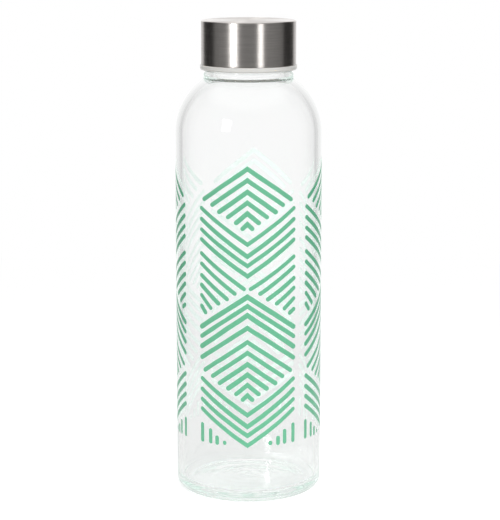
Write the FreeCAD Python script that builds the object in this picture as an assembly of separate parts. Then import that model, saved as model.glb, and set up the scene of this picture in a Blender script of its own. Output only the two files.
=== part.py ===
"""Half-litre glass water bottle with a screw cap.

Four pieces: a moulded glass bottle, a pressed steel shell, the threaded plastic insert that the shell
is pressed over, and a silicone sealing ring held loose under the insert's top. The bottle stands on
z = 0 with its axis on Z. All sizes are millimetres.
"""
import FreeCAD, Part
import math
import os
from FreeCAD import Vector

# ---- glass body -------------------------------------------------------------------------------
BARREL_R = 33.0            # outside radius of the straight barrel
SHOULDER_Z = 163.9         # height where the barrel ends and the shoulder starts
SHOULDER_R = 30.0          # radius of the shoulder's round section
WALL = 2.8                 # wall of barrel and shoulder
FLOOR = 4.4                # glass under the inside floor, at its edge
HEEL_R = 4.3               # rounding of the bottom corner
INNER_HEEL_R = 2.6         # rounding between the inside wall and the floor
LAND_W = 2.7               # width of the flat ring that the bottle stands on
PUSH_UP = 2.0              # rise of the underside inside the standing ring
FLOOR_RISE = 0.9           # rise of the inside floor to its middle

# ---- neck and its thread ----------------------------------------------------------------------
NECK_R = 17.7              # outside radius of the neck between the threads
NECK_WALL = 2.9            # glass between the neck's root and the mouth's bore
BORE_BLEND = 3.0           # rounding where the bore opens into the shoulder
COLLAR_OUT = 2.5           # collar under the cap, proud of the neck
COLLAR_RISE = 3.42         # collar's top above the place where it leaves the shoulder
COLLAR_EDGE = 1.8          # rounding of the collar's upper edge
COLLAR_BLEND = 1.0         # rounding between shoulder and collar
FINISH_H = 18.9            # height from the collar's top to the rim
RIM_EDGE = 0.9             # rounding of the rim's two edges
PITCH = 4.2                # rise of the single right-hand thread in one turn
GLASS_THREAD_H = 1.2       # height of the glass thread above the neck
GLASS_THREAD_SECTION = 1.15    # section radius of the glass thread
GLASS_THREAD_TURNS = 1.75
THREAD_DROP = 4.25         # rim down to the centre of the thread's upper end

# ---- cap --------------------------------------------------------------------------------------
CAP_GAP = 0.6              # collar's top to the insert's lower edge
FLANGE_H = 2.2             # height of the insert's visible ring
FLANGE_OUT = 0.4           # ring proud of the steel shell
FLANGE_EDGE = 0.8          # rounding of the ring's lower edge
INSERT_WALL = 1.3          # wall of the insert's skirt
INSERT_TOP = 1.5           # thickness of the insert's top
INSERT_THREAD_TURNS = 1.5
INSERT_THREAD_INSET = 0.1  # insert thread's centre line inside the skirt's wall
INSERT_THREAD_LAG = 0.25   # turns by which the insert's thread starts before the glass thread
RIB_COUNT = 36             # crush ribs that hold the shell on the insert
RIB_H = 0.4
RIB_W = 0.8
SHELL_T = 0.45             # steel of the shell's side
SHELL_TOP_T = 0.5          # steel of the shell's top
SHELL_EDGE = 0.6           # outside rounding of the shell's upper edge
SEAL_T = 1.6               # thickness of the sealing ring
SEAL_INSIDE = 0.3          # ring's inside edge past the bore
SEAL_EDGE = 0.3
SEAL_GROOVE_W = 1.0
SEAL_GROOVE_D = 0.35
CATCH_SECTION = 0.35       # section radius of the catch that keeps the sealing ring in
CATCH_DROP = 0.85          # rim's height down to the catch's centre

# ---- clearances -------------------------------------------------------------------------------
THREAD_SIDE_GAP = 0.25     # glass thread's crest to the insert's wall
THREAD_ROOT_GAP = 0.3      # insert thread's crest to the neck
THREAD_LIFT_GAP = 0.15     # between the two threads on the side that pulls the cap down
THREAD_BACK_GAP = 0.4      # between the two threads on the other side
SEAL_SIDE_GAP = 0.45       # sealing ring to the insert's wall

# ---- sizes that follow ------------------------------------------------------------------------
SHOULDER_CENTRE_R = BARREL_R - SHOULDER_R
LAND_IN_R = BARREL_R - HEEL_R - LAND_W
INNER_R = BARREL_R - WALL
BORE_R = NECK_R - NECK_WALL
COLLAR_R = NECK_R + COLLAR_OUT


def shoulder_height(radius, section):
    """Height at which a shoulder arc of the given section radius stands over a radius."""
    return SHOULDER_Z + math.sqrt(section ** 2 - (radius - SHOULDER_CENTRE_R) ** 2)


COLLAR_FOOT_Z = shoulder_height(COLLAR_R, SHOULDER_R)
COLLAR_TOP_Z = COLLAR_FOOT_Z + COLLAR_RISE
RIM_Z = COLLAR_TOP_Z + FINISH_H
THREAD_END_Z = RIM_Z - THREAD_DROP
THREAD_START_Z = THREAD_END_Z - GLASS_THREAD_TURNS * PITCH

GLASS_CREST_R = NECK_R + GLASS_THREAD_H
GLASS_HELIX_R = GLASS_CREST_R - GLASS_THREAD_SECTION
INSERT_IN_R = GLASS_CREST_R + THREAD_SIDE_GAP
INSERT_HELIX_R = INSERT_IN_R - INSERT_THREAD_INSET
INSERT_OUT_R = INSERT_IN_R + INSERT_WALL
SHELL_IN_R = INSERT_OUT_R + RIB_H
SHELL_R = SHELL_IN_R + SHELL_T
FLANGE_R = SHELL_R + FLANGE_OUT

SKIRT_Z = COLLAR_TOP_Z + CAP_GAP
FLANGE_TOP_Z = SKIRT_Z + FLANGE_H
SEAL_TOP_Z = RIM_Z + SEAL_T
INSERT_TOP_Z = SEAL_TOP_Z + INSERT_TOP
CAP_TOP_Z = INSERT_TOP_Z + SHELL_TOP_T

SAME = 1e-4                # two lengths closer than this are the same edge
AXIS = Vector(0, 0, 1)


class Outline:
    """A half-section in the r-z plane, drawn edge by edge and turned about Z into a solid."""

    def __init__(self, radius, height):
        self.start = self.last = Vector(radius, 0, height)
        self.edges = []

    def line(self, radius, height):
        """Add a straight edge to the given point."""
        end = Vector(radius, 0, height)
        self.edges.append(Part.makeLine(self.last, end))
        self.last = end
        return self

    def arc(self, through, end):
        """Add a round edge through one (r, z) point to another."""
        middle = Vector(through[0], 0, through[1])
        end = Vector(end[0], 0, end[1])
        self.edges.append(Part.Arc(self.last, middle, end).toShape())
        self.last = end
        return self

    def solid(self):
        """Close the outline and turn it all the way round the axis."""
        self.line(self.start.x, self.start.z)
        return Part.Face(Part.Wire(self.edges)).revolve(Vector(0, 0, 0), AXIS, 360)


def ring(inner, outer, low, high):
    """A flat-ended tube between two radii and two heights."""
    return Outline(inner, low).line(outer, low).line(outer, high).line(inner, high).solid()


def round_rings(solid, *rings):
    """Round circular edges, each given as (radius, height, rounding)."""
    for radius, height, rounding in rings:
        edges = [edge for edge in solid.Edges
                 if not edge.Degenerated
                 and isinstance(edge.Curve, Part.Circle)
                 and abs(edge.Curve.Radius - radius) < SAME
                 and abs(edge.Curve.Center.z - height) < SAME]
        solid = solid.makeFillet(rounding, edges)
    return solid


def shoulder_arc(section, start_height, end_radius):
    """Middle and end points of a shoulder arc from the barrel's top in to a radius."""
    end_height = shoulder_height(end_radius, section)
    reach = math.atan2(end_height - start_height, end_radius - SHOULDER_CENTRE_R)
    middle = (SHOULDER_CENTRE_R + section * math.cos(reach / 2),
              start_height + section * math.sin(reach / 2))
    return middle, (end_radius, end_height)


def dome_arc(edge_radius, edge_height, rise):
    """Middle and end points of a shallow spherical dome, from its top on the axis to its edge."""
    sphere = (edge_radius ** 2 + rise ** 2) / (2 * rise)
    half = edge_radius / 2
    middle = (half, edge_height + rise - sphere + math.sqrt(sphere ** 2 - half ** 2))
    return middle, (edge_radius, edge_height)


def helical_bead(section, helix_radius, turns, start_height, start_turn):
    """A round right-hand thread with ball ends, as a solid of its own.

    The centre of its first ball is at start_height, start_turn turns round from the X axis.
    """
    helix = Part.makeHelix(PITCH, PITCH * turns, helix_radius)
    first = Vector(helix_radius, 0, 0)
    along = Vector(0, 2 * math.pi * helix_radius, PITCH)
    profile = Part.Wire([Part.Circle(first, along, section).toShape()])
    sweep = Part.Wire(helix.Edges).makePipeShell([profile], True, True)
    angle = 2 * math.pi * turns
    last = Vector(helix_radius * math.cos(angle), helix_radius * math.sin(angle), PITCH * turns)
    bead = sweep.fuse([Part.makeSphere(section, first), Part.makeSphere(section, last)])
    bead.rotate(Vector(0, 0, 0), AXIS, 360 * start_turn)
    bead.translate(Vector(0, 0, start_height))
    return bead


def thread_drop(section, gap):
    """How far the insert thread's centre lies under or over the glass thread's, at a given gap."""
    sideways = INSERT_HELIX_R - GLASS_HELIX_R
    reach = GLASS_THREAD_SECTION + section + gap
    return math.sqrt(max(reach ** 2 - sideways ** 2, 0))


def insert_thread_section():
    """Section radius of the insert's thread: it fills the glass groove with every gap kept."""
    low, high = 0.0, INSERT_HELIX_R - NECK_R - THREAD_ROOT_GAP
    while high - low > SAME:
        section = (low + high) / 2
        if thread_drop(section, THREAD_LIFT_GAP) + thread_drop(section, THREAD_BACK_GAP) > PITCH:
            high = section
        else:
            low = section
    return low


def glass_bottle():
    """Moulded bottle: domed underside, heel, barrel, shoulder, collar and threaded finish."""
    outside = Outline(0, PUSH_UP)
    outside.arc(*dome_arc(LAND_IN_R, 0, PUSH_UP))
    outside.line(BARREL_R, 0).line(BARREL_R, SHOULDER_Z)
    outside.arc(*shoulder_arc(SHOULDER_R, SHOULDER_Z, COLLAR_R))
    outside.line(COLLAR_R, COLLAR_TOP_Z).line(NECK_R, COLLAR_TOP_Z)
    body = outside.line(NECK_R, RIM_Z).line(0, RIM_Z).solid()

    inside = Outline(0, RIM_Z + FINISH_H).line(0, FLOOR + FLOOR_RISE)
    inside.arc(*dome_arc(INNER_R, FLOOR, FLOOR_RISE))
    inside.line(INNER_R, SHOULDER_Z)
    inside.arc(*shoulder_arc(SHOULDER_R - WALL, SHOULDER_Z, BORE_R))
    hollow = inside.line(BORE_R, RIM_Z + FINISH_H).solid()

    bottle = body.cut(hollow)
    bottle = round_rings(
        bottle,
        (BARREL_R, 0, HEEL_R),
        (LAND_IN_R, 0, PUSH_UP),
        (INNER_R, FLOOR, INNER_HEEL_R),
        (COLLAR_R, COLLAR_FOOT_Z, COLLAR_BLEND),
        (COLLAR_R, COLLAR_TOP_Z, COLLAR_EDGE),
        (BORE_R, shoulder_height(BORE_R, SHOULDER_R - WALL), BORE_BLEND),
        (BORE_R, RIM_Z, RIM_EDGE),
        (NECK_R, RIM_Z, RIM_EDGE),
    )
    thread = helical_bead(GLASS_THREAD_SECTION, GLASS_HELIX_R, GLASS_THREAD_TURNS,
                          THREAD_START_Z, 0)
    return bottle.fuse(thread)


def threaded_insert():
    """Plastic inner cap: skirt, top, visible ring, thread, sealing-ring catch and crush ribs."""
    cup = Outline(0, INSERT_TOP_Z).line(0, SEAL_TOP_Z).line(INSERT_IN_R, SEAL_TOP_Z)
    cup.line(INSERT_IN_R, SKIRT_Z).line(FLANGE_R, SKIRT_Z).line(FLANGE_R, FLANGE_TOP_Z)
    cup = cup.line(INSERT_OUT_R, FLANGE_TOP_Z).line(INSERT_OUT_R, INSERT_TOP_Z).solid()
    cup = round_rings(
        cup,
        (FLANGE_R, SKIRT_Z, FLANGE_EDGE),
        (FLANGE_R, FLANGE_TOP_Z, FLANGE_OUT / 2),
        (INSERT_IN_R, SKIRT_Z, FLANGE_EDGE / 2),
        (INSERT_OUT_R, INSERT_TOP_Z, SHELL_EDGE),
    )

    section = insert_thread_section()
    start = THREAD_START_Z - thread_drop(section, THREAD_LIFT_GAP) - INSERT_THREAD_LAG * PITCH
    thread = helical_bead(section, INSERT_HELIX_R, INSERT_THREAD_TURNS, start,
                          -INSERT_THREAD_LAG)
    catch = Part.makeTorus(INSERT_IN_R, 2 * CATCH_SECTION, Vector(0, 0, RIM_Z - CATCH_DROP))
    within = Part.makeCylinder((INSERT_IN_R + INSERT_OUT_R) / 2, SEAL_TOP_Z - SKIRT_Z,
                               Vector(0, 0, SKIRT_Z))
    details = [thread.common(within), catch.common(within)] + crush_ribs()
    return cup.fuse(details)


def crush_ribs():
    """Upright ribs round the skirt, faced off to the shell's inside radius."""
    low = FLANGE_TOP_Z + RIB_W
    height = INSERT_TOP_Z - INSERT_TOP - low
    envelope = Part.makeCylinder(SHELL_IN_R, height, Vector(0, 0, low))
    blank = Part.makeBox(SHELL_R - INSERT_OUT_R + INSERT_WALL / 2, RIB_W, height,
                         Vector(INSERT_OUT_R - INSERT_WALL / 2, -RIB_W / 2, low))
    blank = blank.common(envelope)
    ribs = []
    for number in range(RIB_COUNT):
        rib = blank.copy()
        rib.rotate(Vector(0, 0, 0), AXIS, 360 * number / RIB_COUNT)
        ribs.append(rib)
    return ribs


def steel_shell():
    """Pressed steel cover: a shallow cup whose open edge stands on the insert's ring."""
    blank = Part.makeCylinder(SHELL_R, CAP_TOP_Z - FLANGE_TOP_Z, Vector(0, 0, FLANGE_TOP_Z))
    inside = Part.makeCylinder(SHELL_IN_R, INSERT_TOP_Z - FLANGE_TOP_Z, Vector(0, 0, FLANGE_TOP_Z))
    return round_rings(
        blank.cut(inside),
        (SHELL_R, CAP_TOP_Z, SHELL_EDGE),
        (SHELL_IN_R, INSERT_TOP_Z, SHELL_EDGE - SHELL_T),
    )


def silicone_seal():
    """Flat sealing ring over the rim, with a shallow relief groove in its upper face."""
    inner = BORE_R - SEAL_INSIDE
    outer = INSERT_IN_R - SEAL_SIDE_GAP
    middle = (inner + outer) / 2
    blank = round_rings(
        ring(inner, outer, RIM_Z, SEAL_TOP_Z),
        (inner, RIM_Z, SEAL_EDGE),
        (outer, RIM_Z, SEAL_EDGE),
    )
    groove = ring(middle - SEAL_GROOVE_W / 2, middle + SEAL_GROOVE_W / 2,
                  SEAL_TOP_Z - SEAL_GROOVE_D, SEAL_TOP_Z)
    return blank.cut(groove)


PIECES = {
    "glass_bottle": glass_bottle,
    "threaded_insert": threaded_insert,
    "steel_shell": steel_shell,
    "silicone_seal": silicone_seal,
}


def main():
    """Build each piece, check that it is one sound solid, and write it to parts/."""
    os.makedirs("parts", exist_ok=True)
    for name, build in PIECES.items():
        shape = build()
        if not shape.isValid() or len(shape.Solids) != 1:
            raise RuntimeError(f"{name} is not one valid solid: {len(shape.Solids)} solids")
        shape.Solids[0].exportStep(f"parts/{name}.step")
        box = shape.BoundBox
        print(f"{name:16s} {shape.Volume:11.2f} mm3   z {box.ZMin:7.2f} to {box.ZMax:7.2f}"
              f"   r {box.XMax:6.2f}")
    print(f"turns to lift the cap clear of the rim: {(RIM_Z - SKIRT_Z) / PITCH:.2f}")


main()
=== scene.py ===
"""Looks of a half-litre glass water bottle with a brushed steel screw cap and a green enamel print.

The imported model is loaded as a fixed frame. The glass and the steel shell are turned again here as
smooth meshes, the enamel strokes are laid on the barrel, and the insert and the sealing ring keep
their own meshes and get a finish. Everything is in metres, Z up, with the front at -Y.
"""
import logging
import math
import random
from collections.abc import Callable
from dataclasses import dataclass, field
from enum import Enum

import bmesh
import bpy
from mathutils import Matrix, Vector


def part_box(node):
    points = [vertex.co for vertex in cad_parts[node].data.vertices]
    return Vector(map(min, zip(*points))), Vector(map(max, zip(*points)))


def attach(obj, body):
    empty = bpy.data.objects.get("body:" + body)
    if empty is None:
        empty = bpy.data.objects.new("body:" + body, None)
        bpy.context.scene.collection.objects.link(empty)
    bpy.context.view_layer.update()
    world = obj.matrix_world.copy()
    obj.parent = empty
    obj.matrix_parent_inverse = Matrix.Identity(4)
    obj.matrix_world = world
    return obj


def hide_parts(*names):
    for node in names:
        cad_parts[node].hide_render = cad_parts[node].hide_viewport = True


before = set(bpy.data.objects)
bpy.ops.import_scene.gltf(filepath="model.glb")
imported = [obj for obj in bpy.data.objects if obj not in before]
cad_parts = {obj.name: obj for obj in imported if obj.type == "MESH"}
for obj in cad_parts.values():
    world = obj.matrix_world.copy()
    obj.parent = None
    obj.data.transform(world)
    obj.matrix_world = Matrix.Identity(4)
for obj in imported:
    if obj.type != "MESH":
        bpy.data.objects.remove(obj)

MM = 0.001
SAME_PLACE = 1e-7
MERGE_WITHIN = 0.001 * MM
LOG = logging.getLogger("glass_bottle")
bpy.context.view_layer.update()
SEED = 7

Point = tuple[float, float]
Colour = tuple[float, float, float, float]
Socket = bpy.types.NodeSocket
Sockets = bpy.types.NodeOutputs
Shape = Callable[[float, float, float, int], float]


# ---------------------------------------------------------------------------------------------
# Meshes
# ---------------------------------------------------------------------------------------------

class Section:
    """Half-section of a turned piece: (radius, height) points, drawn from one end to the other."""

    def __init__(self, radius: float, height: float) -> None:
        """Start the section at a point, in metres."""
        self.points: list[Point] = [(radius, height)]

    def line(self, radius: float, height: float, steps: int = 1) -> "Section":
        """Draw a straight run.

        Args:
            radius: Radius of the run's end.
            height: Height of the run's end.
            steps: Number of pieces that the run is cut into.

        Returns:
            The section itself.
        """
        from_r, from_z = self.points[-1]
        for step in range(1, steps + 1):
            part = step / steps
            self.points.append((from_r + (radius - from_r) * part, from_z + (height - from_z) * part))
        return self

    def arc(self, centre: Point, radius: float, start: float, stop: float, steps: int) -> "Section":
        """Draw a round run about a centre, after a straight one to its first point.

        Args:
            centre: (radius, height) of the arc's centre.
            radius: Radius of the arc.
            start: First angle in degrees, 0 outwards and 90 up.
            stop: Last angle in degrees.
            steps: Number of pieces.

        Returns:
            The section itself.
        """
        for step in range(steps + 1):
            angle = math.radians(start + (stop - start) * step / steps)
            point = (centre[0] + radius * math.cos(angle), centre[1] + radius * math.sin(angle))
            if math.dist(point, self.points[-1]) > SAME_PLACE:
                self.points.append(point)
        return self


def turn(name: str, section: Section, segments: int,
         shape: Shape | None = None) -> bpy.types.Object:
    """Turn a section that starts and ends on the axis, or is closed, into a solid of revolution.

    Args:
        name: Name of the piece.
        section: The half-section, counter-clockwise with the radius to the right.
        segments: Number of steps round the axis.
        shape: Optional function of (radius, height, turn angle, row) that returns a new radius.

    Returns:
        The piece, closed and with its faces outwards.
    """
    mesh = bmesh.new()
    rows: list[list[bmesh.types.BMVert]] = []
    for number, (radius, height) in enumerate(section.points):
        if radius < SAME_PLACE:
            rows.append([mesh.verts.new((0, 0, height))])
            continue
        row = []
        for step in range(segments):
            angle = 2 * math.pi * step / segments
            out = shape(radius, height, angle, number) if shape else radius
            row.append(mesh.verts.new((out * math.cos(angle), out * math.sin(angle), height)))
        rows.append(row)
    closed = len(rows[0]) > 1
    pairs = list(zip(rows, rows[1:])) + ([(rows[-1], rows[0])] if closed else [])
    for lower, upper in pairs:
        for step in range(segments):
            after = (step + 1) % segments
            corners = [lower[step % len(lower)], lower[after % len(lower)],
                       upper[after % len(upper)], upper[step % len(upper)]]
            mesh.faces.new(list(dict.fromkeys(corners)))
    bmesh.ops.recalc_face_normals(mesh, faces=mesh.faces)
    return link_mesh(name, mesh)


def link_mesh(name: str, mesh: bmesh.types.BMesh) -> bpy.types.Object:
    """Store a bmesh as a smooth-shaded object in the scene and free it.

    Args:
        name: Name of the object and of its mesh.
        mesh: The bmesh, which can't be used afterwards.

    Returns:
        The new object.
    """
    data = bpy.data.meshes.new(name)
    mesh.to_mesh(data)
    mesh.free()
    data.polygons.foreach_set("use_smooth", [True] * len(data.polygons))
    piece = bpy.data.objects.new(name, data)
    bpy.context.scene.collection.objects.link(piece)
    return piece


def dress(piece: bpy.types.Object, material: bpy.types.Material) -> None:
    """Give a piece one material all over."""
    piece.data.materials.clear()
    piece.data.materials.append(material)


def report(piece: bpy.types.Object) -> None:
    """Log a finished piece's name and its number of faces."""
    LOG.info("%s: %d faces", piece.name, len(piece.data.polygons))


# ---------------------------------------------------------------------------------------------
# Node trees
# ---------------------------------------------------------------------------------------------

class Nodes:
    """A node tree with short calls for adding and joining nodes."""

    def __init__(self, tree: bpy.types.NodeTree) -> None:
        """Wrap a tree."""
        self.tree = tree

    def add(self, kind: str, **settings) -> bpy.types.Node:
        """Add a node and set its properties.

        Args:
            kind: The node's type name.
            **settings: Properties of the node.

        Returns:
            The new node.
        """
        node = self.tree.nodes.new(kind)
        for key, value in settings.items():
            setattr(node, key, value)
        return node

    def join(self, source: Socket, target: Socket) -> None:
        """Link an output to an input."""
        self.tree.links.new(source, target)

    def feed(self, node: bpy.types.Node, **inputs) -> bpy.types.Node:
        """Set a node's inputs by name, with underscores for spaces, from values or from outputs.

        Args:
            node: The node to fill in.
            **inputs: A plain value, or an output socket to link.

        Returns:
            The same node.
        """
        for key, value in inputs.items():
            socket = node.inputs[key.replace("_", " ")]
            if isinstance(value, bpy.types.NodeSocket):
                self.join(value, socket)
            else:
                socket.default_value = value
        return node

    def math(self, operation: str, *values: Socket | float, clamp: bool = False) -> Socket:
        """Add a maths node.

        Args:
            operation: The operation's name.
            *values: Numbers or output sockets, in order.
            clamp: Whether the result is kept between 0 and 1.

        Returns:
            The node's output.
        """
        node = self.add("ShaderNodeMath", operation=operation, use_clamp=clamp)
        for socket, value in zip(node.inputs, values):
            if isinstance(value, bpy.types.NodeSocket):
                self.join(value, socket)
            else:
                socket.default_value = value
        return node.outputs[0]

    def split(self, vector: Socket) -> tuple[Socket, Socket, Socket]:
        """Split a vector into its X, Y and Z outputs."""
        return tuple(self.feed(self.add("ShaderNodeSeparateXYZ"), Vector=vector).outputs)

    def mixed(self, factor: Socket, first: Colour, second: Colour) -> Socket:
        """Mix two colours by a factor.

        Args:
            factor: The output that gives the share of the second colour.
            first: The colour at 0.
            second: The colour at 1.

        Returns:
            The mixed colour.
        """
        mix = self.add("ShaderNodeMix", data_type="RGBA")
        factor_in, first_in, second_in = (mix.inputs[index] for index in (0, 6, 7))
        self.join(factor, factor_in)
        first_in.default_value = first
        second_in.default_value = second
        return mix.outputs[2]

    def noise(self, vector: Socket, scale: float, detail: float = 2.0,
              roughness: float = 0.5) -> Socket:
        """Add a noise texture.

        Args:
            vector: The place it is read at.
            scale: Its scale per metre.
            detail: Its number of finer octaves.
            roughness: The weight of the finer octaves.

        Returns:
            Its factor output.
        """
        node = self.feed(self.add("ShaderNodeTexNoise"), Vector=vector, Scale=scale,
                         Detail=detail, Roughness=roughness)
        return node.outputs["Fac"]

    def spread(self, value: Socket, low: float, high: float) -> Socket:
        """Map a 0 to 1 value to the range from low to high."""
        node = self.feed(self.add("ShaderNodeMapRange"), Value=value, To_Min=low, To_Max=high)
        return node.outputs["Result"]

    def bump(self, height: Socket, distance: float, strength: float = 1.0) -> Socket:
        """Add a bump.

        Args:
            height: The output that gives its height, 0 to 1.
            distance: Its depth in metres.
            strength: Its strength.

        Returns:
            The bumped normal.
        """
        node = self.feed(self.add("ShaderNodeBump"), Height=height, Distance=distance,
                         Strength=strength)
        return node.outputs["Normal"]


class Surface(Nodes):
    """A new material's node tree, with its output and its Object coordinates at hand."""

    def __init__(self, name: str) -> None:
        """Create the material."""
        self.material = bpy.data.materials.new(name)
        self.material.use_nodes = True
        super().__init__(self.material.node_tree)
        self.tree.nodes.clear()
        self.output = self.add("ShaderNodeOutputMaterial")
        self.place = self.add("ShaderNodeTexCoord").outputs["Object"]

    def finish(self, shader: Socket) -> bpy.types.Material:
        """Join a shader to the output and return the material."""
        self.join(shader, self.output.inputs["Surface"])
        return self.material


# ---------------------------------------------------------------------------------------------
# Finishes
# ---------------------------------------------------------------------------------------------

@dataclass(frozen=True)
class ClearGlass:
    """Soda-lime glass: clear, faintly green where it is thick, with a moulded surface's slow wave."""

    ior: float = 1.52
    absorb: Colour = (0.25, 0.62, 0.46, 1.0)
    density: float = 2.0
    wave_scale: float = 45.0
    wave_depth: float = 0.05 * MM
    shade: Colour = (0.93, 0.96, 0.945, 1.0)

    def build(self) -> bpy.types.Material:
        """Build the material, with light let straight through on shadow rays.

        Returns:
            The material.
        """
        nodes = Surface("clear_glass")
        wave = nodes.bump(nodes.noise(nodes.place, self.wave_scale, detail=1.0), self.wave_depth)
        glass = nodes.feed(nodes.add("ShaderNodeBsdfPrincipled"), Base_Color=(1, 1, 1, 1),
                           Roughness=0.0, IOR=self.ior, Transmission_Weight=1.0, Normal=wave)
        through = nodes.feed(nodes.add("ShaderNodeBsdfTransparent"), Color=self.shade)
        mix = nodes.add("ShaderNodeMixShader")
        nodes.join(nodes.add("ShaderNodeLightPath").outputs["Is Shadow Ray"], mix.inputs[0])
        nodes.join(glass.outputs[0], mix.inputs[1])
        nodes.join(through.outputs[0], mix.inputs[2])
        volume = nodes.feed(nodes.add("ShaderNodeVolumeAbsorption"), Color=self.absorb,
                            Density=self.density)
        nodes.join(volume.outputs[0], nodes.output.inputs["Volume"])
        return nodes.finish(mix.outputs[0])


@dataclass(frozen=True)
class FiredEnamel:
    """Screen-printed glass enamel: satin, slightly uneven in colour and thickness."""

    name: str
    thin: Colour
    thick: Colour
    roughness: float
    # painted light: emission that makes the coat glow by itself, though it is no lamp
    glow: float = 0.0
    smoother: float = 0.06
    rougher: float = 0.08
    patch_scale: float = 260.0
    peel_scale: float = 2600.0
    peel_depth: float = 0.008 * MM

    def build(self) -> bpy.types.Material:
        """Build the material: mottled colour, uneven gloss and a fine orange-peel bump.

        The glow is painted light: an even emission that lights the coat by itself, standing in for
        the daylight that comes through the thin coat from its other side.

        Returns:
            The material.
        """
        nodes = Surface(self.name)
        patches = nodes.noise(nodes.place, self.patch_scale, detail=3.0, roughness=0.6)
        peel = nodes.noise(nodes.place, self.peel_scale, detail=2.0)
        coat = nodes.feed(
            nodes.add("ShaderNodeBsdfPrincipled"),
            Base_Color=nodes.mixed(patches, self.thin, self.thick),
            Roughness=nodes.spread(peel, self.roughness - self.smoother,
                                   self.roughness + self.rougher),
            Normal=nodes.bump(peel, self.peel_depth),
            Emission_Color=self.thin,
            Emission_Strength=self.glow,
        )
        return nodes.finish(coat.outputs[0])


@dataclass(frozen=True)
class BrushedSteel:
    """Stainless steel brushed round the cap, with fine lines that spread highlights upright."""

    bright: Colour = (0.76, 0.725, 0.695, 1.0)
    dull: Colour = (0.44, 0.415, 0.395, 1.0)
    roughness: float = 0.34
    anisotropy: float = 0.93
    gloss_spread: float = 0.06
    upright: float = 0.25
    lines_per_m: float = 1700.0
    line_turns: float = 1.6
    line_depth: float = 0.006 * MM
    line_strength: float = 0.5

    def build(self) -> bpy.types.Material:
        """Build the material: lines follow the angle round Z, finely spaced in height and radius.

        Returns:
            The material.
        """
        nodes = Surface("brushed_steel")
        across, away, height = nodes.split(nodes.place)
        angle = nodes.math("ARCTAN2", away, across)
        radius = nodes.math("POWER", nodes.math("ADD", nodes.math("MULTIPLY", across, across),
                                                nodes.math("MULTIPLY", away, away)), 0.5)
        lines = nodes.feed(
            nodes.add("ShaderNodeCombineXYZ"),
            X=nodes.math("MULTIPLY", nodes.math("COSINE", angle), self.line_turns),
            Y=nodes.math("MULTIPLY", nodes.math("SINE", angle), self.line_turns),
            Z=nodes.math("MULTIPLY", nodes.math("ADD", height, radius), self.lines_per_m),
        )
        brush = nodes.noise(lines.outputs[0], 1.0, detail=4.0, roughness=0.7)
        tangent = nodes.add("ShaderNodeTangent", direction_type="RADIAL", axis="Z")
        steel = nodes.feed(
            nodes.add("ShaderNodeBsdfPrincipled"),
            Base_Color=nodes.mixed(brush, self.dull, self.bright),
            Metallic=1.0,
            Roughness=nodes.spread(brush, self.roughness - self.gloss_spread,
                                   self.roughness + self.gloss_spread),
            Anisotropic=self.anisotropy,
            Anisotropic_Rotation=self.upright,
            Tangent=tangent.outputs[0],
            Normal=nodes.bump(brush, self.line_depth, self.line_strength),
        )
        return nodes.finish(steel.outputs[0])


@dataclass(frozen=True)
class SoftWhite:
    """Milky plastic or silicone that lets a little light in, with a faint moulded texture."""

    name: str
    colour: Colour
    roughness: float
    depth: float
    grain: float
    # painted light: emission that brightens the piece by itself, though it is no lamp
    glow: float
    smoother: float = 0.05
    rougher: float = 0.08
    mottle: float = 0.96
    mottle_scale: float = 90.0
    inside_share: float = 0.5
    inside_tint: tuple[float, float, float] = (1.0, 0.95, 0.85)
    grain_depth: float = 0.01 * MM

    def build(self) -> bpy.types.Material:
        """Build the material: scattering inside, and a fine grain on the surface.

        The glow is painted light: an even emission over the whole piece that brightens it, standing
        in for light that the glass of the neck passes up to it inside the cap.

        Returns:
            The material.
        """
        nodes = Surface(self.name)
        grain = nodes.noise(nodes.place, self.grain, detail=3.0)
        darker = tuple(part * self.mottle for part in self.colour[:3]) + (1.0,)
        clouds = nodes.noise(nodes.place, self.mottle_scale)
        body = nodes.feed(
            nodes.add("ShaderNodeBsdfPrincipled"),
            Base_Color=nodes.mixed(clouds, darker, self.colour),
            Roughness=nodes.spread(grain, self.roughness - self.smoother,
                                   self.roughness + self.rougher),
            Subsurface_Weight=self.inside_share,
            Subsurface_Radius=self.inside_tint,
            Subsurface_Scale=self.depth,
            Emission_Color=self.colour,
            Emission_Strength=self.glow,
            Normal=nodes.bump(grain, self.grain_depth),
        )
        return nodes.finish(body.outputs[0])


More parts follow.
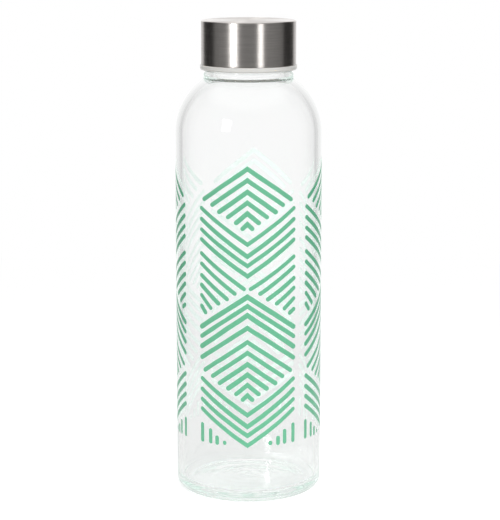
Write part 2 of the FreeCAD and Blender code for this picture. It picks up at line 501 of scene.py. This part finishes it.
@dataclass(frozen=True)
class PaleFloor:
    """Matt white table top that reads as the white background and still takes a shadow."""

    albedo: Colour = (0.72, 0.72, 0.72, 1.0)
    unlit: Colour = (0.0, 0.0, 0.0, 1.0)
    camera_lift: float = 0.5
    glass_lift: float = 0.3
    near: float = 0.10
    far: float = 0.55

    def build(self) -> bpy.types.Material:
        """Build the material: matt white near the bottle, the backdrop's even white farther back.

        The lift is there for the camera, mirrors and glass only and puts no light on the bottle.

        Returns:
            The material.
        """
        nodes = Surface("pale_floor")
        fade = nodes.feed(nodes.add("ShaderNodeMapRange", interpolation_type="SMOOTHSTEP"),
                          Value=nodes.split(nodes.place)[1], From_Min=self.near, From_Max=self.far)
        away = fade.outputs["Result"]
        matt = nodes.feed(nodes.add("ShaderNodeBsdfDiffuse"),
                          Color=nodes.mixed(away, self.albedo, self.unlit))
        rays = nodes.add("ShaderNodeLightPath").outputs
        inside = nodes.math("ADD", rays["Is Glossy Ray"], rays["Is Transmission Ray"], clamp=True)
        camera_lift = self._rising(nodes, away, self.camera_lift)
        glass_lift = self._rising(nodes, away, self.glass_lift)
        lift = nodes.math("MULTIPLY_ADD", inside, glass_lift,
                          nodes.math("MULTIPLY", rays["Is Camera Ray"], camera_lift))
        glow = nodes.feed(nodes.add("ShaderNodeEmission"), Strength=lift)
        both = nodes.add("ShaderNodeAddShader")
        nodes.join(matt.outputs[0], both.inputs[0])
        nodes.join(glow.outputs[0], both.inputs[1])
        return nodes.finish(both.outputs[0])

    @staticmethod
    def _rising(nodes: Nodes, away: Socket, lift: float) -> Socket:
        """Raise a lift to 1, the backdrop's own level, where the table runs into the backdrop."""
        return nodes.math("MULTIPLY_ADD", away, 1.0 - lift, lift)


# ---------------------------------------------------------------------------------------------
# Bottle
# ---------------------------------------------------------------------------------------------

@dataclass
class GlassBottle:
    """The moulded bottle: domed base, heel, barrel, shoulder, collar, thread and rim."""

    barrel_radius: float
    rim_height: float
    wall: float = 2.8 * MM
    floor: float = 4.4 * MM
    heel: float = 4.3 * MM
    inner_heel: float = 2.6 * MM
    land: float = 2.7 * MM
    push_up: float = 2.0 * MM
    floor_rise: float = 0.9 * MM
    floor_step: float = 0.1 * MM
    shoulder: float = 30.0 * MM
    neck_radius: float = 17.7 * MM
    neck_wall: float = 2.9 * MM
    collar_out: float = 2.5 * MM
    collar_rise: float = 3.42 * MM
    collar_edge: float = 1.8 * MM
    collar_blend: float = 0.45 * MM
    finish_height: float = 18.9 * MM
    rim_edge: float = 0.9 * MM
    bore_blend: float = 3.0 * MM
    pitch: float = 4.2 * MM
    thread_section: float = 1.15 * MM
    thread_height: float = 1.2 * MM
    thread_turns: float = 1.75
    thread_drop: float = 4.25 * MM
    wave: float = 0.05 * MM
    wave_start: float = 0.8
    wave_climb: float = 21.0
    third_share: float = 0.6
    third_climb: float = 47.0
    ripple: float = 0.02 * MM
    ripple_pitch: float = 5.2 * MM
    dome_steps: int = 44
    segments: int = 256
    inside_rows: set[int] = field(default_factory=set)

    @property
    def collar_top(self) -> float:
        """Height of the collar's upper face."""
        return self.rim_height - self.finish_height

    @property
    def shoulder_centre(self) -> Point:
        """Centre of the shoulder's round section, below the collar.

        Returns:
            (radius, height) of the centre.
        """
        radius = self.barrel_radius - self.shoulder
        rise = math.sqrt(self.shoulder ** 2 - (self.neck_radius + self.collar_out - radius) ** 2)
        return radius, self.collar_top - self.collar_rise - rise

    def section(self) -> Section:
        """Draw the half-section: outside from the base's middle to the rim, then back inside.

        Returns:
            The section, whose inside rows are noted in inside_rows.
        """
        land_in = self.barrel_radius - self.heel - self.land
        centre = self.shoulder_centre
        line = Section(0, self.push_up)
        self._dome(line, land_in, 0, self.push_up, outward=True)
        heel_centre = (self.barrel_radius - self.heel, self.heel)
        line.line(heel_centre[0], 0, steps=3).arc(heel_centre, self.heel, -90, 0, 14)
        line.line(self.barrel_radius, centre[1], steps=24)
        self._collar(line, centre)
        rim_out = self.neck_radius - self.rim_edge
        top = self.rim_height - self.rim_edge
        line.line(self.neck_radius, top, steps=72).arc((rim_out, top), self.rim_edge, 0, 90, 6)
        bore = self.neck_radius - self.neck_wall
        line.line(bore + self.rim_edge, self.rim_height, steps=2)
        line.arc((bore + self.rim_edge, top), self.rim_edge, 90, 180, 6)
        first_inside = len(line.points)
        inner = self.shoulder - self.wall
        reach = bore + self.bore_blend - centre[0]
        blend_angle = math.degrees(math.acos(reach / (inner + self.bore_blend)))
        blend_z = centre[1] + (inner + self.bore_blend) * math.sin(math.radians(blend_angle))
        line.line(bore, blend_z, steps=8)
        line.arc((bore + self.bore_blend, blend_z), self.bore_blend, 180, 180 + blend_angle, 8)
        line.arc(centre, inner, blend_angle, 0, 30)
        inside_r = self.barrel_radius - self.wall
        corner = (inside_r - self.inner_heel, self.floor + self.inner_heel)
        line.line(inside_r, corner[1], steps=40).arc(corner, self.inner_heel, 0, -86, 9)
        self._dome(line, corner[0], self.floor + self.floor_step, self.floor_rise, outward=False)
        self.inside_rows = set(range(first_inside, len(line.points)))
        return line

    def _collar(self, line: Section, centre: Point) -> None:
        """Add the shoulder, the hollow blend above it and the collar with its round upper edge.

        Args:
            line: The section so far, which ends at the top of the barrel.
            centre: Centre of the shoulder's round section.
        """
        collar = self.neck_radius + self.collar_out
        blend_r = collar + self.collar_blend
        outer = self.shoulder + self.collar_blend
        angle = math.degrees(math.acos((blend_r - centre[0]) / outer))
        blend_z = centre[1] + outer * math.sin(math.radians(angle))
        line.arc(centre, self.shoulder, 0, angle, 40)
        line.arc((blend_r, blend_z), self.collar_blend, 180 + angle, 180, 8)
        edge = (collar - self.collar_edge, self.collar_top - self.collar_edge)
        line.line(collar, edge[1], steps=2).arc(edge, self.collar_edge, 0, 90, 12)
        line.line(self.neck_radius, self.collar_top, steps=1)

    def _dome(self, line: Section, edge: float, height: float, rise: float, outward: bool) -> None:
        """Add a shallow dome with faint moulding rings between the axis and its edge.

        Args:
            line: The section so far.
            edge: Radius of the dome's edge.
            height: Height of the dome's edge.
            rise: Rise from the edge to the middle.
            outward: Whether it is drawn from the axis outwards.
        """
        steps = self.dome_steps
        order = range(1, steps + 1) if outward else range(steps - 1, -1, -1)
        for step in order:
            radius = edge * step / steps
            ring = self.ripple * math.cos(2 * math.pi * radius / self.ripple_pitch)
            fade = 1 - (radius / edge) ** 4
            level = height + rise * (1 - (radius / edge) ** 2) + ring * fade
            line.points.append((radius, level))

    def thread(self, height: float, angle: float) -> float:
        """How far the thread stands off the neck.

        Args:
            height: Height on the neck.
            angle: Angle round the axis, in radians.

        Returns:
            The thread's height above the neck there, 0 where there is none.
        """
        helix = self.neck_radius + self.thread_height - self.thread_section
        start = self.rim_height - self.thread_drop - self.thread_turns * self.pitch
        proud = 0.0
        for lap in range(math.ceil(self.thread_turns) + 1):
            turns = angle / (2 * math.pi) + lap - 1
            nearest = min(max(turns, 0.0), self.thread_turns)
            along = 2 * math.pi * helix * (turns - nearest)
            across = height - start - nearest * self.pitch
            left = self.thread_section ** 2 - along ** 2 - across ** 2
            if left > 0:
                proud = max(proud, helix + math.sqrt(left) - self.neck_radius)
        return proud

    def shape(self, radius: float, height: float, angle: float, row: int) -> float:
        """Add the thread outside, and the slow waves of blown glass inside.

        Args:
            radius: Radius of the plain section.
            height: Height of the point.
            angle: Angle round the axis, in radians.
            row: Number of the section's point.

        Returns:
            The radius of the shaped surface.
        """
        if row in self.inside_rows:
            swell = math.sin(2 * angle + self.wave_start + self.wave_climb * height)
            swell += self.third_share * math.sin(3 * angle - self.third_climb * height)
            return radius + self.wave * swell * min(1.0, radius / self.barrel_radius)
        on_neck = abs(radius - self.neck_radius) < SAME_PLACE * 10
        if on_neck and height < self.rim_height - self.rim_edge:
            return radius + self.thread(height, angle)
        return radius

    def build(self) -> bpy.types.Object:
        """Turn the bottle and dress it in glass.

        Returns:
            The finished piece, riding on the bottle.
        """
        piece = turn("bottle_glass", self.section(), self.segments, self.shape)
        dress(piece, ClearGlass().build())
        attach(piece, "bottle")
        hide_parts("glass_bottle")
        return piece


# ---------------------------------------------------------------------------------------------
# Print
# ---------------------------------------------------------------------------------------------

class Coat(Enum):
    """The two fired coats of the print, with how deep each starts and how thick it is."""

    UNDERCOAT = ("print_undercoat", "white_enamel", -0.030 * MM, 0.032 * MM)
    COLOUR = ("print_colour", "green_enamel", 0.002 * MM, 0.035 * MM)


ENAMELS = {
    # the undercoat is painted light: a dim colour under a strong glow, so the back print reads as an
    # even pale mint through the glass
    Coat.UNDERCOAT: FiredEnamel(name="white_enamel", thin=(0.50, 0.545, 0.525, 1),
                                thick=(0.47, 0.52, 0.50, 1), roughness=0.5, glow=1.05),
    Coat.COLOUR: FiredEnamel(name="green_enamel", thin=(0.22, 0.67, 0.42, 1),
                             thick=(0.165, 0.60, 0.35, 1), roughness=0.34),
}


@dataclass(frozen=True)
class Stroke:
    """One painted stroke in the unrolled panel: its corners in millimetres, and its width."""

    corners: tuple[Point, ...]
    width: float

    def rungs(self, step: float = 2.0) -> list[tuple[Vector, Vector]]:
        """Pairs of edge points across the stroke, from its start to its end.

        Args:
            step: Longest distance between pairs, in millimetres.

        Returns:
            (right, left) pairs, with a mitred pair at each inner corner.
        """
        points = [Vector(corner) for corner in self.corners]
        found = []
        for index, point in enumerate(points):
            before = (point - points[index - 1]).normalized() if index else None
            after = (points[index + 1] - point).normalized() if index + 1 < len(points) else None
            heading = ((before or after) + (after or before)).normalized()
            side = Vector((-heading.y, heading.x))
            lean = heading.dot(after or before)
            if index:
                run = (point - points[index - 1]).length
                flat = Vector((-before.y, before.x)) * self.width / 2
                count = max(1, math.ceil(run / step))
                for part in range(1, count):
                    middle = points[index - 1].lerp(point, part / count)
                    found.append((middle - flat, middle + flat))
            reach = side * self.width / 2 / lean
            found.append((point - reach, point + reach))
        return found


@dataclass
class PrintPanel:
    """One printed panel: nested chevrons, slanted side strokes and upright ticks, in millimetres.

    Every chevron row is (half-width, height of its ends, height of its point).
    """

    up_rows: tuple[tuple[float, float, float], ...] = (
        (20.3, 137.9, 151.96), (16.2, 135.6, 147.03), (12.7, 132.7, 141.86),
        (8.6, 130.6, 137.14), (5.0, 128.15, 132.40), (2.1, 125.65, 127.65))
    down_rows: tuple[tuple[float, float, float], ...] = (
        (21.9, 133.75, 118.58), (21.9, 128.85, 113.22), (21.9, 124.15, 109.02),
        (21.9, 119.7, 104.45))
    middle_rows: tuple[tuple[float, float, float], ...] = (
        (22.0, 80.3, 95.19), (22.0, 75.9, 91.05), (22.0, 71.25, 86.91), (22.0, 66.2, 81.14))
    side_strokes: tuple[tuple[float, float, float], ...] = (
        (1.5, 98.7, 112.8), (5.7, 96.5, 108.2), (9.2, 93.9, 103.0),
        (13.3, 91.7, 98.6), (17.1, 89.2, 93.9), (19.9, 86.9, 89.0))
    side_reach: float = 22.0
    side_lift: tuple[float, float] = (0.6, -0.7)
    ticks: tuple[tuple[float, float, float], ...] = (
        (21.9, 26.95, 36.1), (17.4, 26.9, 33.9), (14.1, 26.7, 31.0), (10.4, 27.0, 29.1))
    repeat_drop: float = 77.25
    up_width: float = 2.05
    down_width: float = 1.95
    middle_width: float = 2.1
    side_width: float = 1.95
    tick_width: float = 1.8
    hand: tuple[float, float] = (0.94, 1.08)
    end_steps: int = 6

    def strokes(self) -> list[Stroke]:
        """Lay out the panel's strokes in a fixed order.

        Returns:
            All strokes of one panel.
        """
        found = []
        for drop in (0.0, self.repeat_drop):
            for rows, width in ((self.up_rows, self.up_width), (self.down_rows, self.down_width)):
                found += [self._chevron(half, end - drop, point - drop, width)
                          for half, end, point in rows]
        found += [self._chevron(*row, self.middle_width) for row in self.middle_rows]
        for side, lift in zip((-1, 1), self.side_lift):
            for near, low, high in self.side_strokes:
                corners = ((side * self.side_reach, high + lift), (side * near, low))
                found.append(Stroke(corners, self.side_width))
            for place, low, high in self.ticks:
                inset = self.tick_width / 2
                found.append(Stroke(((side * place, low + inset), (side * place, high - inset)),
                                    self.tick_width))
        return found

    @staticmethod
    def _chevron(half: float, end: float, point: float, width: float) -> Stroke:
        """A chevron from its left end over its point to its right end."""
        return Stroke(((-half, end), (0.0, point), (half, end)), width)

    def flat_mesh(self) -> bpy.types.Object:
        """Draw the strokes as faces in the X-Z plane, facing -Y, each with round ends.

        Returns:
            The flat panel, with each stroke's width a little off, as by hand.
        """
        dice = random.Random(SEED)
        mesh = bmesh.new()
        for stroke in self.strokes():
            self._draw(mesh, Stroke(stroke.corners, stroke.width * dice.uniform(*self.hand)))
        return link_mesh("print_strokes", mesh)

    def _draw(self, mesh: bmesh.types.BMesh, stroke: Stroke) -> None:
        """Add one stroke's faces: a ladder of quads and a round cap at each end.

        Args:
            mesh: The mesh to add to.
            stroke: The stroke, in millimetres.
        """
        rungs = [[mesh.verts.new((p.x * MM, 0, p.y * MM)) for p in pair] for pair in stroke.rungs()]
        for (right, left), (next_right, next_left) in zip(rungs, rungs[1:]):
            mesh.faces.new((right, next_right, next_left, left))
        for (right, left) in ((rungs[-1][0], rungs[-1][1]), (rungs[0][1], rungs[0][0])):
            middle = (right.co + left.co) / 2
            arm = right.co - middle
            forward = Vector((-arm.z, 0, arm.x))
            arc = []
            for step in range(1, self.end_steps + 1):
                angle = math.pi * step / (self.end_steps + 1)
                spot = middle + arm * math.cos(angle) + forward * math.sin(angle)
                arc.append(mesh.verts.new(spot))
            mesh.faces.new([right, *arc, left])


@dataclass
class EnamelPrint:
    """The print round the barrel: four panels in two fired coats."""

    barrel_radius: float
    panels: int = 4
    panel_turn: float = 86.5
    first_gap: float = 3.5
    centre_shift: float = -0.5 * MM
    wobble: float = 0.16 * MM
    wobble_scale: float = 170.0
    sharp_from: float = 35.0

    def tree(self) -> bpy.types.GeometryNodeTree:
        """Build the tree that thickens the flat strokes, bends them round and repeats the panel.

        Returns:
            The tree, with an input for each size.
        """
        tree = bpy.data.node_groups.new("wrap_print", "GeometryNodeTree")
        nodes = Nodes(tree)
        sockets = [("Geometry", "Geometry"), ("Radius", "Float"), ("Depth", "Float"),
                   ("Thickness", "Float"), ("Panels", "Int"), ("Panel Turn", "Float"),
                   ("First Gap", "Float"), ("Shift", "Float"), ("Wobble", "Float"),
                   ("Wobble Scale", "Float"), ("Seed", "Float"), ("Material", "Material")]
        for name, kind in sockets:
            tree.interface.new_socket(name, in_out="INPUT", socket_type=f"NodeSocket{kind}")
        tree.interface.new_socket("Geometry", in_out="OUTPUT", socket_type="NodeSocketGeometry")
        given = nodes.add("NodeGroupInput").outputs
        position = nodes.add("GeometryNodeInputPosition").outputs[0]
        rough = self._wobbled(nodes, given, position)
        slab = self._thickened(nodes, given, rough)
        bent = self._bent(nodes, given, slab, position)
        ringed = self._repeated(nodes, given, bent)
        solid = nodes.feed(nodes.add("GeometryNodeRealizeInstances"), Geometry=ringed)
        coated = nodes.feed(nodes.add("GeometryNodeSetMaterial"), Geometry=solid.outputs[0],
                            Material=given["Material"])
        result = nodes.add("NodeGroupOutput")
        nodes.join(coated.outputs[0], result.inputs[0])
        return tree

    @staticmethod
    def _wobbled(nodes: Nodes, given: Sockets, position: Socket) -> Socket:
        """Move the flat outline a little by noise, so that the strokes look drawn by hand.

        Args:
            nodes: The tree to add to.
            given: The tree's inputs.
            position: The position of each point.

        Returns:
            The moved geometry.
        """
        noise = nodes.add("ShaderNodeTexNoise", noise_dimensions="4D")
        nodes.feed(noise, Vector=position, W=given["Seed"], Scale=given["Wobble Scale"], Detail=1.0)
        away = nodes.add("ShaderNodeVectorMath", operation="SUBTRACT")
        nodes.join(noise.outputs["Color"], away.inputs[0])
        away.inputs[1].default_value = (0.5, 0.5, 0.5)
        flat = nodes.add("ShaderNodeVectorMath", operation="MULTIPLY")
        nodes.join(away.outputs[0], flat.inputs[0])
        flat.inputs[1].default_value = (2.0, 0.0, 2.0)
        scaled = nodes.add("ShaderNodeVectorMath", operation="SCALE")
        nodes.join(flat.outputs[0], scaled.inputs[0])
        nodes.join(given["Wobble"], scaled.inputs["Scale"])
        moved = nodes.feed(nodes.add("GeometryNodeSetPosition"), Geometry=given["Geometry"],
                           Offset=scaled.outputs[0])
        return moved.outputs[0]

    @staticmethod
    def _thickened(nodes: Nodes, given: Sockets, flat: Socket) -> Socket:
        """Raise the flat faces into closed slabs of the coat's thickness.

        Args:
            nodes: The tree to add to.
            given: The tree's inputs.
            flat: The flat strokes.

        Returns:
            The slabs.
        """
        raised = nodes.add("GeometryNodeExtrudeMesh", mode="FACES")
        raised.inputs["Individual"].default_value = False
        nodes.feed(raised, Mesh=flat, Offset_Scale=given["Thickness"])
        base = nodes.feed(nodes.add("GeometryNodeFlipFaces"), Mesh=flat)
        both = nodes.add("GeometryNodeJoinGeometry")
        nodes.join(raised.outputs["Mesh"], both.inputs[0])
        nodes.join(base.outputs[0], both.inputs[0])
        merged = nodes.feed(nodes.add("GeometryNodeMergeByDistance"), Geometry=both.outputs[0],
                            Distance=MERGE_WITHIN)
        return merged.outputs[0]

    @staticmethod
    def _bent(nodes: Nodes, given: Sockets, slab: Socket, position: Socket) -> Socket:
        """Bend the slabs round the barrel, with the panel's middle at the front.

        Args:
            nodes: The tree to add to.
            given: The tree's inputs.
            slab: The thickened strokes.
            position: The position of each point.

        Returns:
            The bent panel.
        """
        across, deep, height = nodes.split(position)
        lift = nodes.math("SUBTRACT", given["Depth"], deep)
        radius = nodes.math("ADD", given["Radius"], lift)
        angle = nodes.math("DIVIDE", nodes.math("ADD", across, given["Shift"]), given["Radius"])
        place = nodes.feed(
            nodes.add("ShaderNodeCombineXYZ"),
            X=nodes.math("MULTIPLY", radius, nodes.math("SINE", angle)),
            Y=nodes.math("MULTIPLY", nodes.math("MULTIPLY", radius, nodes.math("COSINE", angle)),
                         -1.0),
            Z=height,
        )
        moved = nodes.feed(nodes.add("GeometryNodeSetPosition"), Geometry=slab,
                           Position=place.outputs[0])
        return moved.outputs[0]

    @staticmethod
    def _repeated(nodes: Nodes, given: Sockets, panel: Socket) -> Socket:
        """Stand copies of the bent panel round the axis, with a wider step after the first.

        Args:
            nodes: The tree to add to.
            given: The tree's inputs.
            panel: The bent panel.

        Returns:
            The copies, as instances.
        """
        spots = nodes.add("GeometryNodeMeshLine")
        nodes.feed(spots, Count=given["Panels"], Offset=(0.0, 0.0, 0.0))
        number = nodes.add("GeometryNodeInputIndex").outputs[0]
        after_first = nodes.math("MINIMUM", number, 1.0)
        turn_angle = nodes.math("ADD", nodes.math("MULTIPLY", number, given["Panel Turn"]),
                                nodes.math("MULTIPLY", after_first, given["First Gap"]))
        spin = nodes.feed(nodes.add("ShaderNodeCombineXYZ"),
                          Z=nodes.math("RADIANS", turn_angle))
        copies = nodes.feed(nodes.add("GeometryNodeInstanceOnPoints"), Points=spots.outputs[0],
                            Instance=panel, Rotation=spin.outputs[0])
        return copies.outputs[0]

    def coat(self, coat: Coat, strokes: bpy.types.Object,
             tree: bpy.types.GeometryNodeTree) -> bpy.types.Object:
        """Make one coat of the whole print as a plain mesh.

        Args:
            coat: Which coat.
            strokes: The flat panel.
            tree: The wrapping tree.

        Returns:
            The finished piece, riding on the bottle.
        """
        name, slot, depth, thickness = coat.value
        material = ENAMELS[coat].build()
        carrier = strokes.copy()
        bpy.context.scene.collection.objects.link(carrier)
        modifier = carrier.modifiers.new("wrap", "NODES")
        modifier.node_group = tree
        values = {"Radius": self.barrel_radius, "Depth": depth, "Thickness": thickness,
                  "Panels": self.panels, "Panel Turn": self.panel_turn,
                  "First Gap": self.first_gap, "Shift": self.centre_shift, "Wobble": self.wobble,
                  "Wobble Scale": self.wobble_scale, "Seed": float(SEED), "Material": material}
        for item in tree.interface.items_tree:
            if item.in_out == "INPUT" and item.name in values:
                modifier[item.identifier] = values[item.name]
        bpy.context.view_layer.update()
        graph = bpy.context.evaluated_depsgraph_get()
        mesh = bpy.data.meshes.new_from_object(carrier.evaluated_get(graph))
        bpy.data.objects.remove(carrier)
        mesh.name = name
        mesh.set_sharp_from_angle(angle=math.radians(self.sharp_from))
        piece = bpy.data.objects.new(name, mesh)
        bpy.context.scene.collection.objects.link(piece)
        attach(piece, "bottle")
        return piece

    def build(self) -> list[bpy.types.Object]:
        """Make both coats and remove the flat panel that they were made from.

        Returns:
            The two coats.
        """
        strokes = PrintPanel().flat_mesh()
        tree = self.tree()
        pieces = [self.coat(coat, strokes, tree) for coat in Coat]
        bpy.data.objects.remove(strokes)
        return pieces


# ---------------------------------------------------------------------------------------------
# Cap
# ---------------------------------------------------------------------------------------------

# both glow values are painted light: an even emission that brightens the insert and the seal though
# neither is a lamp
MILKY_PLASTIC = SoftWhite(name="white_plastic", colour=(0.80, 0.79, 0.76, 1), roughness=0.3,
                          depth=1.2 * MM, grain=900, glow=0.10)
CLEAR_SILICONE = SoftWhite(name="silicone", colour=(0.84, 0.85, 0.84, 1), roughness=0.45,
                           depth=1.0 * MM, grain=1500, glow=0.1)


@dataclass
class ScrewCap:
    """The cap: a brushed steel shell over the milky threaded insert."""

    low: Vector
    high: Vector
    side: float = 0.45 * MM
    top: float = 0.5 * MM
    edge: float = 0.6 * MM
    hem: float = 0.18 * MM
    segments: int = 192

    def shell(self) -> bpy.types.Object:
        """Turn the steel shell, with a rounded upper edge and a blunted lower one.

        Returns:
            The finished shell, riding on the cap.
        """
        radius = self.high.x
        inner = radius - self.side
        inner_edge = self.edge - self.side
        line = Section(0, self.high.z - self.top)
        line.line(inner - inner_edge, self.high.z - self.top, steps=8)
        line.arc((inner - inner_edge, self.high.z - self.top - inner_edge), inner_edge, 90, 0, 5)
        line.line(inner, self.low.z + self.hem, steps=10)
        line.arc((inner + self.hem, self.low.z + self.hem), self.hem, 180, 270, 3)
        line.arc((radius - self.hem, self.low.z + self.hem), self.hem, 270, 360, 3)
        line.line(radius, self.high.z - self.edge, steps=20)
        line.arc((radius - self.edge, self.high.z - self.edge), self.edge, 0, 90, 10)
        line.line(0, self.high.z, steps=14)
        piece = turn("cap_shell", line, self.segments)
        dress(piece, BrushedSteel().build())
        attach(piece, "cap")
        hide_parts("steel_shell")
        return piece

    def build(self) -> list[bpy.types.Object]:
        """Make the shell and dress the insert.

        Returns:
            The shell and the insert.
        """
        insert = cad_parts["threaded_insert"]
        dress(insert, MILKY_PLASTIC.build())
        return [self.shell(), insert]


# ---------------------------------------------------------------------------------------------
# Studio
# ---------------------------------------------------------------------------------------------

@dataclass(frozen=True)
class Softbox:
    """A square-edged lamp aimed at the bottle, placed by angles seen from it, in degrees."""

    name: str
    azimuth: float
    elevation: float
    width: float
    height: float
    radiance: float
    distance: float = 1.3

    def build(self, target: Vector) -> bpy.types.Object:
        """Hang the lamp so that it spans its width and height as seen from the target.

        Args:
            target: The point that it is aimed at.

        Returns:
            The lamp.
        """
        turn_angle, lift = math.radians(self.azimuth), math.radians(self.elevation)
        away = Vector((math.sin(turn_angle) * math.cos(lift), -math.cos(turn_angle) * math.cos(lift),
                       math.sin(lift)))
        data = bpy.data.lights.new(self.name, "AREA")
        data.shape = "RECTANGLE"
        data.size = 2 * self.distance * math.tan(math.radians(self.width / 2))
        data.size_y = 2 * self.distance * math.tan(math.radians(self.height / 2))
        data.energy = self.radiance * math.pi * data.size * data.size_y
        lamp = bpy.data.objects.new(self.name, data)
        lamp.location = target + away * self.distance
        lamp.rotation_euler = (-away).to_track_quat("-Z", "Y").to_euler()
        bpy.context.scene.collection.objects.link(lamp)
        return lamp


KEY = Softbox("key_softbox", azimuth=-37.0, elevation=17.5, width=11, height=18, radiance=14.0)
FILL = Softbox("front_fill", azimuth=32, elevation=18, width=85, height=50, radiance=1.35)
CAP_LAMPS = (
    Softbox("cap_strip", azimuth=29, elevation=2, width=12, height=26, radiance=5.0),
    Softbox("cap_band", azimuth=-37.5, elevation=17.5, width=20, height=23, radiance=5.0),
    Softbox("cap_top_sheen", azimuth=180, elevation=22, width=60, height=26, radiance=0.45),
)


@dataclass
class Studio:
    """White table, surroundings in soft tones, the lamps and the camera."""

    height: float
    aim: float = 0.8
    floor_side: float = 0.26
    floor_front: float = -0.16
    floor_back: float = 1.1
    grey: float = 0.20
    dark: float = 0.03
    backdrop: float = 1.0
    backdrop_edge: float = 0.66
    front_to: float = 90.0
    flag: tuple[float, float] = (97.0, 137.0)
    edge: tuple[float, float] = (142.0, 150.0)
    backdrop_from: float = 168.0
    ceiling: float = 0.9
    ceiling_rise: tuple[float, float] = (0.62, 0.86)
    share_turn: tuple[float, float] = (130.0, 142.0)
    side_share: float = 0.92
    back_share: float = 0.5
    bounces: int = 40
    lens: float = 130.36
    camera_back: float = 844.7 * MM
    camera_side: float = 0.63 * MM
    camera_height: float = 266.45 * MM
    camera_pitch: float = 10.79
    camera_clip: float = 0.05

    def camera(self) -> None:
        """Place the camera in front, a little above the cap, and make it the scene's camera."""
        data = bpy.data.cameras.new("camera")
        data.lens = self.lens
        data.clip_start = self.camera_clip
        camera = bpy.data.objects.new("camera", data)
        camera.location = (self.camera_side, -self.camera_back, self.camera_height)
        camera.rotation_euler = (math.radians(90 - self.camera_pitch), 0, 0)
        bpy.context.scene.collection.objects.link(camera)
        bpy.context.scene.camera = camera

    def floor(self) -> None:
        """Lay a narrow white table top under the standing ring, running back to the backdrop."""
        mesh = bmesh.new()
        corners = [(-self.floor_side, self.floor_front), (self.floor_side, self.floor_front),
                   (self.floor_side, self.floor_back), (-self.floor_side, self.floor_back)]
        mesh.faces.new([mesh.verts.new((across, away, 0)) for across, away in corners])
        floor = link_mesh("floor", mesh)
        dress(floor, PaleFloor().build())

    def surroundings(self) -> None:
        """Build the world: white behind, flags at the sides, grey in front and light above."""
        world = bpy.data.worlds.new("studio")
        bpy.context.scene.world = world
        world.use_nodes = True
        nodes = Nodes(world.node_tree)
        world.node_tree.nodes.clear()
        across, away, up = nodes.split(nodes.add("ShaderNodeTexCoord").outputs["Generated"])
        azimuth = nodes.math("ARCTAN2", across, nodes.math("MULTIPLY", away, -1.0))
        ring = nodes.add("ShaderNodeValToRGB")
        nodes.join(nodes.math("ADD", nodes.math("DIVIDE", azimuth, 2 * math.pi), 0.5), ring.inputs[0])
        self._fill_ring(ring.color_ramp)
        above = nodes.add("ShaderNodeMapRange", interpolation_type="SMOOTHSTEP")
        nodes.feed(above, Value=up, From_Min=self.ceiling_rise[0], From_Max=self.ceiling_rise[1])
        blend = nodes.add("ShaderNodeMix", data_type="RGBA")
        nodes.join(above.outputs["Result"], blend.inputs["Factor"])
        nodes.join(ring.outputs[0], blend.inputs[6])
        blend.inputs[7].default_value = (self.ceiling, self.ceiling, self.ceiling, 1)
        light = nodes.feed(nodes.add("ShaderNodeBackground"), Color=blend.outputs[2], Strength=1.0)
        white = nodes.feed(nodes.add("ShaderNodeBackground"), Color=(1, 1, 1, 1), Strength=1.0)
        rays = nodes.add("ShaderNodeLightPath").outputs
        share = nodes.feed(nodes.add("ShaderNodeMapRange"), Value=nodes.math("ABSOLUTE", azimuth),
                           From_Min=math.radians(self.share_turn[0]),
                           From_Max=math.radians(self.share_turn[1]),
                           To_Min=self.side_share, To_Max=self.back_share)
        through = nodes.math("MULTIPLY", rays["Is Transmission Ray"], share.outputs["Result"])
        mix = nodes.add("ShaderNodeMixShader")
        nodes.join(nodes.math("ADD", rays["Is Camera Ray"], through, clamp=True), mix.inputs[0])
        nodes.join(light.outputs[0], mix.inputs[1])
        nodes.join(white.outputs[0], mix.inputs[2])
        nodes.join(mix.outputs[0], nodes.add("ShaderNodeOutputWorld").inputs["Surface"])

    def _fill_ring(self, ramp: bpy.types.ColorRamp) -> None:
        """Set the tones round the horizon, by azimuth from the front in degrees.

        Args:
            ramp: The ramp, which runs from behind over the left, front and right to behind.
        """
        half = [(self.front_to, self.grey), (self.flag[0], self.dark), (self.flag[1], self.dark),
                (self.edge[0], self.backdrop_edge), (self.edge[1], self.backdrop_edge),
                (self.backdrop_from, self.backdrop), (180, self.backdrop)]
        stops = [(-angle, tone) for angle, tone in reversed(half)] + half
        while len(ramp.elements) < len(stops):
            ramp.elements.new(0.5)
        for element, (angle, tone) in zip(ramp.elements, stops):
            element.position = angle / 360 + 0.5
        for element, (angle, tone) in zip(ramp.elements, stops):
            element.color = (tone, tone, tone, 1)

    def build(self, cap: bpy.types.Object) -> None:
        """Build the whole studio.

        Args:
            cap: The steel shell, the only piece that the cap's own lamps light.
        """
        scene = bpy.context.scene
        scene.view_settings.view_transform = "Standard"
        scene.cycles.max_bounces = self.bounces
        scene.cycles.glossy_bounces = self.bounces
        scene.cycles.transmission_bounces = self.bounces
        scene.cycles.transparent_max_bounces = self.bounces
        self.camera()
        self.floor()
        self.surroundings()
        middle = Vector((0, 0, self.height * self.aim))
        KEY.build(middle)
        fill = FILL.build(middle)
        fill.visible_glossy = fill.visible_transmission = False
        receivers = bpy.data.collections.new("cap_lamp_receivers")
        receivers.objects.link(cap)
        for softbox in CAP_LAMPS:
            softbox.build(middle).light_linking.receiver_collection = receivers


def main() -> None:
    """Build every piece in order and report it."""
    logging.basicConfig(level=logging.INFO, format="%(name)s %(message)s")
    low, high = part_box("glass_bottle")
    shell_low, shell_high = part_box("steel_shell")
    report(GlassBottle(barrel_radius=high.x, rim_height=high.z).build())
    for piece in EnamelPrint(barrel_radius=high.x).build():
        report(piece)
    shell, insert = ScrewCap(shell_low, shell_high).build()
    report(shell)
    report(insert)
    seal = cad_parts["silicone_seal"]
    dress(seal, CLEAR_SILICONE.build())
    report(seal)
    Studio(height=shell_high.z).build(shell)


if __name__ == "__main__":
    main()
